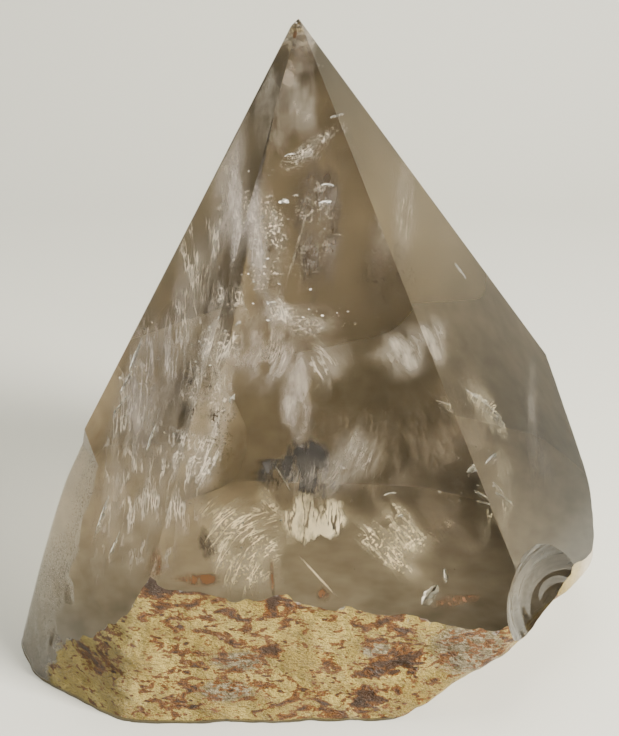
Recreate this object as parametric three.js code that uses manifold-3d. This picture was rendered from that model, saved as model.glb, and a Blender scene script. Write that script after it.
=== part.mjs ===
// A polished point of clear, faintly smoky quartz, in millimetres with +Z up.
//
// The origin is on the flat resting face, straight below the tip, and -Y is the front.
// The crystal is one piece. A rough lump keeps its natural skin round the foot, and six
// flat facets are ground on it that meet in one tip. The lower right corner has broken
// away: the underside rises there, and a shell-shaped scar lies above it.

import * as THREE from 'three';
import { mergeVertices } from 'three/addons/utils/BufferGeometryUtils.js';
import Module from 'manifold-3d';

// How the faces are stated. An azimuth is in degrees from the front towards the right. A lean
// is in degrees from upright, towards the upright line below the tip, and a negative one
// overhangs. A foot is the distance of a face from that line at the resting face, and above
// its top, if it has one, a face runs upright. A ground facet is stated by how far it passes
// outside the tip.

const TIP = new THREE.Vector3(0, 0, 100);

const GROUND_FACETS = [
  { azimuth: 3, lean: 25, past: 0 }, // front
  { azimuth: 63, lean: 30.2, past: 0 }, // right
  { azimuth: 123, lean: 35.3, past: 0 }, // right at the back
  { azimuth: 183, lean: 29, past: 0.2 }, // back
  { azimuth: 243, lean: 22.6, past: 0.9 }, // left at the back
  { azimuth: 306, lean: 27.4, past: 0 }, // left
];

const NATURAL_FACES = [
  { azimuth: 0.5, foot: 40.3, lean: 7 }, // front, the stained skin
  { azimuth: -36, foot: 48.6, lean: 9 }, // its rounded left corner
  { azimuth: -66, foot: 51.1, lean: 25.5, top: 31.5 }, // narrow side strip
  { azimuth: -100, foot: 46, lean: 16.6 }, // left
  { azimuth: -100, foot: 43.8, lean: 8.2 }, // its steeper foot
  { azimuth: -128, foot: 40, lean: 6 }, // left at the back
  { azimuth: 176, foot: 42.5, lean: 5 }, // back
  { azimuth: 148, foot: 46.5, lean: 9 }, // its corner
  { azimuth: 114, foot: 48, lean: 6 }, // right at the back
  { azimuth: 85, foot: 51.8, lean: 3 }, // right
  { azimuth: 56, foot: 48.4, lean: 0 }, // front right, where the scar lies
  { azimuth: 56, foot: 35, lean: -50 }, // underside that rises at the right
];

// A higher number gives the lump crisper edges between its natural faces.
const EDGE_CRISPNESS = 60;

// The skin is shaped up to this height. Above it there are only ground facets.
const SKIN_TOP = 48;
const SKIN_COLUMNS = 168;
const SKIN_ROWS = 26;

// The natural skin: level growth ledges, with low lumps over them.
const LEDGE_PITCH = 6.5;
const LEDGE_DEPTH = 0.45;
const LEDGE_WAVE = 1.3;
const LUMP_DEPTH = 0.5;
const SMOOTH_STRIP = { azimuth: -74, halfWidth: 22, share: 0.25 };

// Terraced hollow in the front skin, stepped like a shallow bowl.
const HOLLOW = { x: 16, height: 8.5, halfWidth: 9, halfHeight: 5.5, depth: 1.8, steps: 3 };

// Shell-shaped scars. Each is the mark of a rippled bowl that faces one azimuth. The reach is
// the distance from the upright line to its deepest place, and along is that place's distance
// to the right of the azimuth, seen from outside. Ripples run round where the blow fell.
const SCARS = [
  {
    azimuth: 56,
    reach: 44.2,
    along: -3.5,
    height: 18.5,
    radii: new THREE.Vector3(22, 24, 17),
    ripple: { pitch: 3.4, depth: 0.2, blow: new THREE.Vector3(0.4, 1, -0.5) },
  },
  {
    azimuth: -148,
    reach: 39.2,
    along: 2,
    height: 10,
    radii: new THREE.Vector3(34, 30, 24),
    ripple: { pitch: 4.6, depth: 0.24, blow: new THREE.Vector3(-0.9, 0.5, 0.7) },
  },
];
const SCAR_COLUMNS = 84;
const SCAR_ROWS = 52;

// Nicks on the edges between one ground facet and the next, counted from the front facet.
const EDGE_NICKS = [
  { facet: 0, height: 36, size: 0.8 },
  { facet: 1, height: 61.1, size: 1.5 },
  { facet: 2, height: 66, size: 1.5 },
  { facet: 3, height: 47, size: 2.2 },
  { facet: 4, height: 93.6, size: 1.1 },
  { facet: 4, height: 52, size: 1.3 },
];

// Nicks in the natural skin.
const SKIN_NICKS = [
  { azimuth: 91, height: 27, size: 2.6 },
  { azimuth: 82, height: 18, size: 2.8 },
  { azimuth: 69, height: 15.5, size: 3.4 },
  { azimuth: 172, height: 29, size: 2.6 },
  { azimuth: -121, height: 18, size: 3 },
  { azimuth: -11, height: 0, size: 2.4 },
];

// A nick is cut by an angular stone, and its centre lies this share of its size outside.
const NICK_OFFSET = 0.55;
const NICK_STRETCH = 1.5;

// Side of the block that grinds a facet, and how far the rough lump reaches over the tip.
const GRINDER = 300;
const CLEARANCE = 5;

const DEGREE = Math.PI / 180;

// Distance of a face from the upright line, at a height.
function reach(face, height) {
  const leaning = Math.min(height, face.top ?? height);
  return face.foot - leaning * Math.tan(face.lean * DEGREE);
}

function smoothStep(value) {
  const t = THREE.MathUtils.clamp(value, 0, 1);
  return t * t * (3 - 2 * t);
}

// A stair with rounded treads: whole steps, each with a short riser.
function stair(value) {
  const whole = Math.floor(value);
  return whole + smoothStep((value - whole - 0.7) / 0.3);
}

// Depth of the growth ledges. Each one stands out at its foot and steps in at its top.
function ledgeDepth(azimuth, height) {
  const wave = LEDGE_WAVE * Math.sin(2 * azimuth + 0.6) + 0.8 * Math.sin(5 * azimuth);
  const level = (height + wave) / LEDGE_PITCH;
  return LEDGE_DEPTH * (stair(level) - level + 0.5);
}

// Depth of the low lumps: three waves that cross, each a whole number of times round.
function lumpDepth(azimuth, height) {
  const broad = Math.sin(7 * azimuth + 0.11 * height) * Math.cos(0.23 * height + 3 * azimuth);
  const middle = Math.sin(17 * azimuth - 0.31 * height) * Math.sin(0.52 * height - 4 * azimuth);
  const fine = Math.sin(31 * azimuth + 0.9 * height) * Math.cos(1.1 * height + 9 * azimuth);
  return LUMP_DEPTH * (0.5 * broad + 0.35 * middle + 0.3 * fine);
}

function hollowDepth(x, y, height) {
  if (y > 0) return 0;
  const across = (x - HOLLOW.x) / HOLLOW.halfWidth;
  const upward = (height - HOLLOW.height) / HOLLOW.halfHeight;
  const inward = Math.max(0, 1 - Math.hypot(across, upward));
  return (HOLLOW.depth / HOLLOW.steps) * stair(HOLLOW.steps * inward + 0.2);
}

// Distance of the natural skin from the upright line. The nearest natural face sets it, and
// the power mean rounds the edge where two faces are equally near.
function skinRadius(azimuth, height) {
  let sum = 0;
  for (const face of NATURAL_FACES) {
    const facing = Math.cos(azimuth - face.azimuth * DEGREE);
    if (facing > 0) sum += (facing / reach(face, height)) ** EDGE_CRISPNESS;
  }
  const even = sum ** (-1 / EDGE_CRISPNESS);
  const fromStrip = Math.abs(azimuth / DEGREE - SMOOTH_STRIP.azimuth) / SMOOTH_STRIP.halfWidth;
  const share = THREE.MathUtils.lerp(SMOOTH_STRIP.share, 1, smoothStep(fromStrip));
  const x = even * Math.sin(azimuth);
  const y = -even * Math.cos(azimuth);
  const relief = share * (ledgeDepth(azimuth, height) + lumpDepth(azimuth, height));
  return even - relief - hollowDepth(x, y, height);
}

// The point at a height on the edge between a ground facet and the next one round.
function edgePoint(index, height) {
  const pair = [GROUND_FACETS[index], GROUND_FACETS[(index + 1) % GROUND_FACETS.length]];
  const [a, b] = pair.map((facet) => facet.azimuth * DEGREE);
  const [reachA, reachB] = pair.map((facet) => {
    const lean = facet.lean * DEGREE;
    return (TIP.z - height) * Math.tan(lean) + facet.past / Math.cos(lean);
  });
  const x = reachB * Math.cos(a) - reachA * Math.cos(b);
  const y = reachB * Math.sin(a) - reachA * Math.sin(b);
  return new THREE.Vector3(x, y, 0).divideScalar(Math.sin(b - a)).setZ(height);
}

function skinPoint(azimuth, height) {
  const radius = skinRadius(azimuth, height);
  return new THREE.Vector3(radius * Math.sin(azimuth), -radius * Math.cos(azimuth), height);
}

// A geometry with its shared corners merged, so that it closes.
function closed(geometry) {
  geometry.deleteAttribute('normal');
  geometry.deleteAttribute('uv');
  return mergeVertices(geometry);
}

function eachPoint(geometry, move) {
  const positions = geometry.attributes.position;
  const point = new THREE.Vector3();
  for (let index = 0; index < positions.count; index += 1) {
    point.fromBufferAttribute(positions, index);
    move(point);
    positions.setXYZ(index, point.x, point.y, point.z);
  }
  return geometry;
}

// The rough lump: an upright drum whose wall is moved out to the natural skin. Its lid is
// lifted clear of the tip, because no skin is left that high.
function roughLump() {
  const drum = new THREE.CylinderGeometry(1, 1, SKIN_TOP, SKIN_COLUMNS, SKIN_ROWS);
  drum.rotateX(90 * DEGREE);
  drum.translate(0, 0, SKIN_TOP / 2);
  return eachPoint(closed(drum), (point) => {
    const onLid = point.z > SKIN_TOP - 0.01;
    const onWall = Math.hypot(point.x, point.y) > 0.5;
    if (onWall) point.copy(skinPoint(Math.atan2(point.x, -point.y), point.z));
    if (onLid) point.z = TIP.z + CLEARANCE;
  });
}

// All that grinding one flat facet takes away: a block whose one face lies in the facet.
function groundAway({ azimuth, lean, past }) {
  const block = closed(new THREE.BoxGeometry(GRINDER, GRINDER, GRINDER));
  block.translate(0, -GRINDER / 2 - past, 0);
  block.rotateX(-lean * DEGREE);
  block.rotateZ(azimuth * DEGREE);
  return block.translate(TIP.x, TIP.y, TIP.z);
}

// The bowl that a shell-shaped break leaves: a rippled ball whose own centre is outside the
// crystal, so that only its innermost side cuts.
function scarBowl({ azimuth, reach, along, height, radii, ripple }) {
  const ball = closed(new THREE.SphereGeometry(1, SCAR_COLUMNS, SCAR_ROWS));
  const blow = ripple.blow.clone().normalize();
  const meanRadius = (radii.x + radii.y + radii.z) / 3;
  eachPoint(ball, (point) => {
    const fromBlow = meanRadius * point.angleTo(blow);
    const wave = ripple.depth * Math.cos((2 * Math.PI * fromBlow) / ripple.pitch);
    point.multiplyScalar(1 + wave / meanRadius);
  });
  ball.scale(radii.x, radii.y, radii.z);
  ball.translate(along, -reach - radii.y, height);
  return ball.rotateZ(azimuth * DEGREE);
}

// A nick's cutting stone, set outside the surface so that only its flat sides bite.
function nickStone(surface, size) {
  const outward = new THREE.Vector3(surface.x, surface.y, 0).setLength(NICK_OFFSET * size);
  const centre = surface.clone().add(outward);
  const stone = closed(new THREE.IcosahedronGeometry(size));
  stone.rotateX(surface.x);
  stone.rotateY(surface.z);
  stone.scale(1, 1, NICK_STRETCH);
  return stone.translate(centre.x, centre.y, centre.z);
}

const wasm = await Module();
wasm.setup();

function toSolid(geometry) {
  const mesh = new wasm.Mesh({
    numProp: 3,
    vertProperties: new Float32Array(geometry.attributes.position.array),
    triVerts: new Uint32Array(geometry.index.array),
  });
  return new wasm.Manifold(mesh);
}

function toGeometry(solid) {
  const mesh = solid.getMesh();
  const geometry = new THREE.BufferGeometry();
  geometry.setAttribute('position', new THREE.BufferAttribute(mesh.vertProperties, 3));
  geometry.setIndex(new THREE.BufferAttribute(mesh.triVerts, 1));
  return geometry;
}

function quartzPoint() {
  const cutters = [
    ...GROUND_FACETS.map(groundAway),
    ...SCARS.map(scarBowl),
    ...EDGE_NICKS.map(({ facet, height, size }) => nickStone(edgePoint(facet, height), size)),
    ...SKIN_NICKS.map(({ azimuth, height, size }) => {
      return nickStone(skinPoint(azimuth * DEGREE, height), size);
    }),
  ];
  let crystal = toSolid(roughLump());
  for (const cutter of cutters) crystal = crystal.subtract(toSolid(cutter));
  const quartz = new THREE.MeshStandardMaterial({
    color: 0xb5a78f,
    roughness: 0.05,
    metalness: 0,
    transparent: true,
    opacity: 0.6,
  });
  const mesh = new THREE.Mesh(toGeometry(crystal), quartz);
  mesh.name = 'quartz_point';
  return mesh;
}

const point = new THREE.Group();
point.add(quartzPoint());

export default point;
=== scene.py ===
# %% [markdown]
# # A polished quartz point
#
# The object is one piece of clear, faintly smoky quartz. Its foot is the rough skin that the
# crystal grew with, stained yellow and rust by iron, and above it six flat facets were ground
# that meet in one tip. Most of what the eye sees lies inside: veils, fractures and flecks.
#
# This script makes it in the order in which the real one came about. First the rough lump,
# then the grinding, then the breaks, then the surface finishes, and last the flaws inside.

# %% Load the fixed frame
import math

import bpy
import numpy as np
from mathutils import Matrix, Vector


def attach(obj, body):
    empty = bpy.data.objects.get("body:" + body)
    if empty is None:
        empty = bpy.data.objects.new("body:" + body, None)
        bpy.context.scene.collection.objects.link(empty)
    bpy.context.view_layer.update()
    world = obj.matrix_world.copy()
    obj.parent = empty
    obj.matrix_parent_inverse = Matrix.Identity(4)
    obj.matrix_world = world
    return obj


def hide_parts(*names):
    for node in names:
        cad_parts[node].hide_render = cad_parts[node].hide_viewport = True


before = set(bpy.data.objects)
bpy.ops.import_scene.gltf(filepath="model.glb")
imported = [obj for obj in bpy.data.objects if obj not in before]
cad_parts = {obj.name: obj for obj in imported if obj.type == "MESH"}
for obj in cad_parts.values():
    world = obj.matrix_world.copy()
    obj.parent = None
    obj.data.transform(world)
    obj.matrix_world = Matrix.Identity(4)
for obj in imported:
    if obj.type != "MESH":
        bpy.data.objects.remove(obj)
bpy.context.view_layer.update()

# %% [markdown]
# ## Small helpers
#
# The crystal is described in millimetres, because those are the sizes a person measures on it,
# and only the last step turns them into Blender's metres. Colours are written as the sRGB hex
# values that a paint program shows, and one function turns them into the linear light that
# shaders work in. Nodes could be added and linked one line at a time. One helper does both in
# one call, so that a material reads from top to bottom like a recipe.

# %% Helpers for sizes, colours, meshes and nodes
MM = 0.001


def linear(hex_colour):
    """The linear RGBA colour of an sRGB hex value: each channel through the sRGB curve."""
    channels = [int(hex_colour[i : i + 2], 16) / 255 for i in (1, 3, 5)]
    curve = [c / 12.92 if c <= 0.04045 else ((c + 0.055) / 1.055) ** 2.4 for c in channels]
    return (*curve, 1.0)


def add(tree, kind, inputs=(), **settings):
    """Adds a node. A socket given as an input is linked, and any other value is set on it."""
    node = tree.nodes.new(kind)
    for name, value in settings.items():
        setattr(node, name, value)
    for socket, value in dict(inputs).items():
        if isinstance(value, bpy.types.NodeSocket):
            tree.links.new(value, node.inputs[socket])
        else:
            node.inputs[socket].default_value = value
    return node


def smooth_step(low, high, value):
    """0 below low, 1 above high, and between them the curve 3t^2 - 2t^3."""
    t = np.clip((value - low) / (high - low), 0.0, 1.0)
    return t * t * (3.0 - 2.0 * t)


def new_object(name, points_mm, faces):
    """A mesh object from an array of points in millimetres and a list of faces."""
    mesh = bpy.data.meshes.new(name)
    mesh.from_pydata((np.asarray(points_mm) * MM).tolist(), [], faces)
    made = bpy.data.objects.new(name, mesh)
    bpy.context.scene.collection.objects.link(made)
    return made


print("mid grey #808080 is", round(linear("#808080")[0], 3), "in linear light")

# %% [markdown]
# ## Camera
#
# The crystal is seen a little from above, from a little over twenty centimetres away, so the
# upright lines draw together slightly towards the bottom. A longer lens from farther off would
# lose that. The 36 mm of the sensor lie along the picture's longer side, which is its height.

# %% Camera
CAMERA_PLACE_MM = (1.594, -204.53, 125.04)
CAMERA_PITCH = 22.0
CAMERA_LENS = 63.59

camera_data = bpy.data.cameras.new("camera")
camera_data.sensor_width = 36.0
camera_data.lens = CAMERA_LENS
camera_data.clip_start = 0.01
camera = bpy.data.objects.new("camera", camera_data)
camera.location = [v * MM for v in CAMERA_PLACE_MM]
camera.rotation_euler = (math.radians(90 - CAMERA_PITCH), 0, 0)
bpy.context.scene.collection.objects.link(camera)
bpy.context.scene.camera = camera
print("camera", round(camera.location.length * 1000), "mm from the foot")

# %% [markdown]
# ## Floor and light
#
# A clear stone has hardly any colour of its own to show: it looks like what is around it. So
# the pale backdrop and the soft lamps matter as much as the crystal. The backdrop is one sheet
# that runs level under the stone and then sweeps up behind it in a wide curve, so that no line
# shows where floor and wall meet. Two flat planes would be simpler, but the stone would show
# the line between them upside down inside it.

# %% Backdrop
SWEEP_START_MM = 260.0
SWEEP_STEPS = 40
FLOOR_STEPS = 30
WALL_STEPS = 20
SWEEP_RADIUS_MM = 260.0
SWEEP_HEIGHT_MM = 900.0
SWEEP_HALF_WIDTH_MM = 1400.0
SWEEP_FRONT_MM = -1200.0
FLOOR_GAP_MM = 0.05


def backdrop_surface():
    """A profile (level, quarter circle, upright) drawn along X: point = (x, profile(t))."""
    turn = np.radians(np.linspace(0, 90, SWEEP_STEPS))
    floor = np.linspace(SWEEP_FRONT_MM, SWEEP_START_MM, FLOOR_STEPS)
    level = np.column_stack([floor, np.full(FLOOR_STEPS, -FLOOR_GAP_MM)])
    curve = np.column_stack(
        [
            SWEEP_START_MM + SWEEP_RADIUS_MM * np.sin(turn),
            SWEEP_RADIUS_MM * (1 - np.cos(turn)),
        ]
    )
    back = SWEEP_START_MM + SWEEP_RADIUS_MM
    wall = np.linspace(SWEEP_RADIUS_MM, SWEEP_HEIGHT_MM, WALL_STEPS)
    upright = np.column_stack([np.full(WALL_STEPS, back), wall])
    profile = np.vstack([level, curve[1:], upright[1:]])
    across = np.array([-SWEEP_HALF_WIDTH_MM, SWEEP_HALF_WIDTH_MM])
    points = [[x, y, z] for y, z in profile for x in across]
    faces = [(2 * i, 2 * i + 1, 2 * i + 3, 2 * i + 2) for i in range(len(profile) - 1)]
    made = new_object("backdrop", points, faces)
    made.data.shade_smooth()
    return made


backdrop = backdrop_surface()
print("backdrop has", len(backdrop.data.polygons), "faces")

# %% Paper of the backdrop
# Matt paper scatters light evenly and shows no lamp. Its fibres are about a millimetre apart.
paper = bpy.data.materials.new("matt off-white paper")
paper.use_nodes = True
tree = paper.node_tree
tree.nodes.clear()
grain = add(tree, "ShaderNodeTexNoise", {"Scale": 900.0, "Detail": 3.0})
bump = add(tree, "ShaderNodeBump", {"Strength": 0.08, "Distance": 0.0002, "Height": grain.outputs[0]})
matt = {"Base Color": linear("#D2D4CC"), "Roughness": 0.9, "Normal": bump.outputs[0]}
matt = add(tree, "ShaderNodeBsdfPrincipled", matt)
add(tree, "ShaderNodeOutputMaterial", {"Surface": matt.outputs[0]})
backdrop.data.materials.append(paper)
print("paper has", len(tree.nodes), "nodes")

# %% [markdown]
# ## Lamps
#
# A small strong window light from the right gives the glints and a soft shadow at the left. A
# broad lamp overhead lights the veils from above, and a faint one fills the front left. They
# stand where no ground facet throws their picture straight at the camera.

# %% Lamps and the room's own light
LAMPS = [
    # name, place mm, aimed at mm, size mm, watts, colour
    ("window", (450, -300, 300), (0, 0, 20), (200, 200), 15, "#FFF7EB"),
    ("overhead", (-60, 120, 700), (0, 0, 40), (700, 500), 3.9, "#FFF8EC"),
    ("front left", (-470, -560, 260), (0, 0, 20), (420, 360), 0.9, "#F6F7FF"),
]


def aim(thing, place_mm, target_mm):
    """Places a thing and turns its -Z axis towards the target."""
    thing.location = Vector(place_mm) * MM
    sight = Vector(target_mm) - Vector(place_mm)
    thing.rotation_euler = sight.to_track_quat("-Z", "Y").to_euler()


for name, place, target, size, watts, colour in LAMPS:
    lamp_data = bpy.data.lights.new(name, "AREA")
    lamp_data.shape = "RECTANGLE"
    lamp_data.size, lamp_data.size_y = (side * MM for side in size)
    lamp_data.energy = watts
    lamp_data.color = linear(colour)[:3]
    lamp = bpy.data.objects.new(name, lamp_data)
    aim(lamp, place, target)
    bpy.context.scene.collection.objects.link(lamp)

world = bpy.data.worlds.new("room")
world.use_nodes = True
room = world.node_tree.nodes["Background"]
room.inputs["Color"].default_value = linear("#E6E4DE")
room.inputs["Strength"].default_value = 0.33
bpy.context.scene.world = world
print(len(LAMPS), "lamps")

# %% [markdown]
# ## The rough lump
#
# The lump's natural faces are stated as planes, each by the direction it faces, its distance at
# the foot from the upright line below the tip, and how far it leans in. The nearest plane sets
# the skin's distance there. Level growth ledges, low lumps, a fine grain and one stepped hollow
# shape that further. It could be sculpted by hand, but a crystal's faces have directions that
# can be stated, and the relief fits all round when it is worked out for every azimuth and height.

# %% The rough lump's sizes
TIP_MM = 100.0

# azimuth and lean in degrees, foot and top in millimetres
NATURAL_FACES = [
    dict(azimuth=0.5, foot=40.3, lean=7),  # front, the stained skin
    dict(azimuth=-36, foot=48.6, lean=9),  # its rounded left corner
    dict(azimuth=-66, foot=51.1, lean=25.5, top=31.5),  # narrow side strip
    dict(azimuth=-100, foot=46, lean=16.6),  # left
    dict(azimuth=-100, foot=43.8, lean=8.2),  # its steeper foot
    dict(azimuth=-128, foot=40, lean=6),  # left at the back
    dict(azimuth=176, foot=42.5, lean=5),  # back
    dict(azimuth=148, foot=46.5, lean=9),  # its corner
    dict(azimuth=114, foot=48, lean=6),  # right at the back
    dict(azimuth=85, foot=51.8, lean=3),  # right
    dict(azimuth=56, foot=48.4, lean=0),  # front right, where the scar lies
    dict(azimuth=56, foot=35, lean=-50),  # underside that rises at the right
]
EDGE_CRISPNESS = 60
SKIN_TOP = 48.0
SKIN_COLUMNS = 640
SKIN_ROWS = 100
LEDGE_PITCH = 6.5
LEDGE_DEPTH = 0.45
LEDGE_WAVE = 1.3
LUMP_DEPTH = 0.6
GRAIN_DEPTH = 0.45
SMOOTH_STRIP = dict(azimuth=-74, half_width=24, share=0.08)
BACK_SHARE = 0.15
HOLLOW = dict(x=16, height=8.5, half_width=9, half_height=5.5, depth=1.8, steps=3)
print(len(NATURAL_FACES), "natural faces, with ledges every", LEDGE_PITCH, "mm")


def soft_noise(points, cell, seed):
    """Smooth noise from 0 to 1: random numbers on a cubic lattice with that cell in mm, blended
    between the eight corners round each point by 3t^2 - 2t^3."""
    side = 32
    lattice = np.random.default_rng(seed).random((side, side, side))
    scaled = np.asarray(points) / cell
    whole = np.floor(scaled).astype(int)
    t = scaled - whole
    t = t * t * (3 - 2 * t)
    total = 0.0
    for corner in np.ndindex(2, 2, 2):
        weight = np.prod([t[..., i] if corner[i] else 1 - t[..., i] for i in range(3)], axis=0)
        index = [(whole[..., i] + corner[i]) % side for i in range(3)]
        total = total + weight * lattice[index[0], index[1], index[2]]
    return total


def stair(value):
    """Whole steps, each with a short rounded riser in its last third."""
    whole = np.floor(value)
    return whole + smooth_step(0.7, 1.0, value - whole)


def ledge_depth(azimuth, height):
    """Each ledge stands out at its foot and steps in at its top, along slightly wavy levels."""
    wave = LEDGE_WAVE * np.sin(2 * azimuth + 0.6) + 0.8 * np.sin(5 * azimuth)
    level = (height + wave) / LEDGE_PITCH
    return LEDGE_DEPTH * (stair(level) - level + 0.5)


def lump_depth(azimuth, height):
    """Three crossing waves, each a whole number of times round the crystal."""
    broad = np.sin(7 * azimuth + 0.11 * height) * np.cos(0.23 * height + 3 * azimuth)
    middle = np.sin(17 * azimuth - 0.31 * height) * np.sin(0.52 * height - 4 * azimuth)
    fine = np.sin(31 * azimuth + 0.9 * height) * np.cos(1.1 * height + 9 * azimuth)
    return LUMP_DEPTH * (0.5 * broad + 0.35 * middle + 0.3 * fine)


def grain_depth(x, y, height):
    """Fine grain of the skin, inwards only: two soft noises, the finer one half as deep."""
    points = np.stack([x, y, 1.6 * height], axis=-1)
    return GRAIN_DEPTH * (0.67 * soft_noise(points, 2.1, 11) + 0.33 * soft_noise(points, 0.8, 12))


def hollow_depth(x, y, height):
    """A bowl in the front skin that goes down in steps, as 1 minus the distance from its centre,
    made uneven by a soft noise so that the steps break up."""
    across = (x - HOLLOW["x"]) / HOLLOW["half_width"]
    upward = (height - HOLLOW["height"]) / HOLLOW["half_height"]
    broken = soft_noise(np.stack([x, y, 1.5 * height], axis=-1), 3.4, 13) - 0.5
    inward = np.maximum(0, 1 - np.hypot(across, upward) + 0.9 * broken * (np.hypot(across, upward) < 1))
    depth = HOLLOW["depth"] / HOLLOW["steps"] * stair(HOLLOW["steps"] * inward + 0.2)
    return np.where(y < 0, depth, 0)


def skin_radius(azimuth, height):
    """Distance of the skin from the upright line: the power mean of the distances to all natural
    faces, which is the nearest one with its edges rounded, less the relief."""
    total = np.zeros(np.broadcast(azimuth, height).shape)
    for face in NATURAL_FACES:
        facing = np.maximum(np.cos(azimuth - math.radians(face["azimuth"])), 0)
        leaning = np.minimum(height, face.get("top", np.inf))
        reach = face["foot"] - leaning * math.tan(math.radians(face["lean"]))
        total = total + (facing / reach) ** EDGE_CRISPNESS
    even = total ** (-1 / EDGE_CRISPNESS)
    from_strip = np.abs(np.degrees(azimuth) - SMOOTH_STRIP["azimuth"]) / SMOOTH_STRIP["half_width"]
    rough = SMOOTH_STRIP["share"] + (1 - SMOOTH_STRIP["share"]) * smooth_step(0, 1, from_strip)
    rough = rough * (1 - (1 - BACK_SHARE) * smooth_step(60, 90, np.abs(np.degrees(azimuth))))
    x, y = even * np.sin(azimuth), -even * np.cos(azimuth)
    relief = ledge_depth(azimuth, height) + lump_depth(azimuth, height)
    return even - rough * (relief + grain_depth(x, y, height)) - hollow_depth(x, y, height)


# %% The rough lump as one closed surface
def rough_lump():
    """A grid of azimuth by height on the skin, closed by a fan below and one above the tip."""
    around = np.radians(np.linspace(-180, 180, SKIN_COLUMNS, endpoint=False))
    upward = np.linspace(0, SKIN_TOP, SKIN_ROWS)
    azimuth, height = np.meshgrid(around, upward)
    radius = skin_radius(azimuth, height)
    height = np.where(height > SKIN_TOP - 0.01, TIP_MM + 5, height)
    wall = np.stack([radius * np.sin(azimuth), -radius * np.cos(azimuth), height], axis=-1)
    points = np.vstack([wall.reshape(-1, 3), [[0, 0, 0], [0, 0, TIP_MM + 5]]])
    low, high = len(points) - 2, len(points) - 1
    row, column = np.meshgrid(np.arange(SKIN_ROWS - 1), np.arange(SKIN_COLUMNS), indexing="ij")
    here = row * SKIN_COLUMNS + column
    beside = row * SKIN_COLUMNS + (column + 1) % SKIN_COLUMNS
    quads = np.stack([here, beside, beside + SKIN_COLUMNS, here + SKIN_COLUMNS], axis=-1)
    ring = np.arange(SKIN_COLUMNS)
    after = (ring + 1) % SKIN_COLUMNS
    last = (SKIN_ROWS - 1) * SKIN_COLUMNS
    below = np.column_stack([after, ring, np.full(SKIN_COLUMNS, low)])
    above = np.column_stack([last + ring, last + after, np.full(SKIN_COLUMNS, high)])
    faces = quads.reshape(-1, 4).tolist() + below.tolist() + above.tolist()
    return new_object("quartz", points, faces)


# What made a face. All that is below a half carries skin.
SKIN, OLD_BREAK, GROUND, BREAK = 0.0, 0.2, 1.0, 2.0


def mark(thing, kind):
    """Writes on every face what made it, so that a cut face still tells after the cutting."""
    layer = thing.data.attributes.new("made_by", "FLOAT", "FACE")
    layer.data.foreach_set("value", np.full(len(thing.data.polygons), kind))


crystal = rough_lump()
mark(crystal, SKIN)
print("lump has", len(crystal.data.polygons), "faces")

# %% [markdown]
# ## Grinding and breaking
#
# A lapidary grinds a facet by holding the stone flat against a wheel, which takes off all that
# lies beyond one plane. Here a big block with one face in that plane is cut away from the lump.
# The six facets could be drawn as a pyramid, but then the line where they meet the rough skin
# would have to be guessed. Cutting gives it, as the wheel does. The breaks are cut the same way,
# by the rippled bowls that a blow leaves in glassy stone.

# %% Ground facets
# azimuth and lean in degrees, past (how far outside the tip) in millimetres
GROUND_FACETS = [
    dict(azimuth=3, lean=25, past=0),  # front
    dict(azimuth=63, lean=30.2, past=0),  # right
    dict(azimuth=123, lean=35.3, past=0),  # right at the back
    dict(azimuth=183, lean=29, past=0.2),  # back
    dict(azimuth=243, lean=22.6, past=0.9),  # left at the back
    dict(azimuth=306, lean=27.4, past=0),  # left
]
GRINDER = 300.0


def turn_z(points, degrees):
    """Points turned about the upright axis, counter-clockwise seen from above."""
    c, s = math.cos(math.radians(degrees)), math.sin(math.radians(degrees))
    return points @ np.array([[c, s, 0], [-s, c, 0], [0, 0, 1]])


def turn_x(points, degrees):
    """Points turned about the X axis."""
    c, s = math.cos(math.radians(degrees)), math.sin(math.radians(degrees))
    return points @ np.array([[1, 0, 0], [0, c, s], [0, -s, c]])


def grinder(azimuth, lean, past):
    """A block whose inner face lies in the facet: it stands in front of the tip, leans in, and is
    then turned to the facet's azimuth."""
    corners = np.array(list(np.ndindex(2, 2, 2)), float) - 0.5
    corners = corners * GRINDER - [0, GRINDER / 2 + past, 0]
    corners = turn_z(turn_x(corners, -lean), azimuth) + [0, 0, TIP_MM]
    faces = [(0, 1, 3, 2), (4, 6, 7, 5), (0, 4, 5, 1), (2, 3, 7, 6), (0, 2, 6, 4), (1, 5, 7, 3)]
    return new_object("grinder", corners, faces)


def cut_away(body, cutter):
    """Takes the cutter out of the body, applies the cut and removes the cutter."""
    cut = body.modifiers.new("cut", "BOOLEAN")
    cut.operation = "DIFFERENCE"
    cut.solver = "MANIFOLD"
    cut.object = cutter
    bpy.context.view_layer.update()
    shaped = body.evaluated_get(bpy.context.evaluated_depsgraph_get())
    result = bpy.data.meshes.new_from_object(shaped)
    old = body.data
    body.modifiers.remove(cut)
    body.data = result
    bpy.data.meshes.remove(old)
    bpy.data.objects.remove(cutter)


for facet in GROUND_FACETS:
    block = grinder(**facet)
    mark(block, GROUND)
    cut_away(crystal, block)
print("after grinding:", len(crystal.data.polygons), "faces")

# %% Shell-shaped scars
SCARS = [
    # front right corner, clear and shallowly rippled
    dict(azimuth=56, reach=44.2, along=-3.5, height=18.5, radii=(22, 24, 17), pitch=3.1, depth=0.05,
         blow=(0.4, 1, -0.5)),
    # left at the back, where the stone broke off its bed, long ago and stained since
    dict(azimuth=-148, reach=39.2, along=2, height=10, radii=(34, 30, 24), pitch=4.6, depth=0.1,
         blow=(-0.9, 0.5, 0.7)),
]
SCAR_KINDS = (BREAK, OLD_BREAK)
BOWL_COLUMNS = 300
BOWL_ROWS = 200


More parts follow.
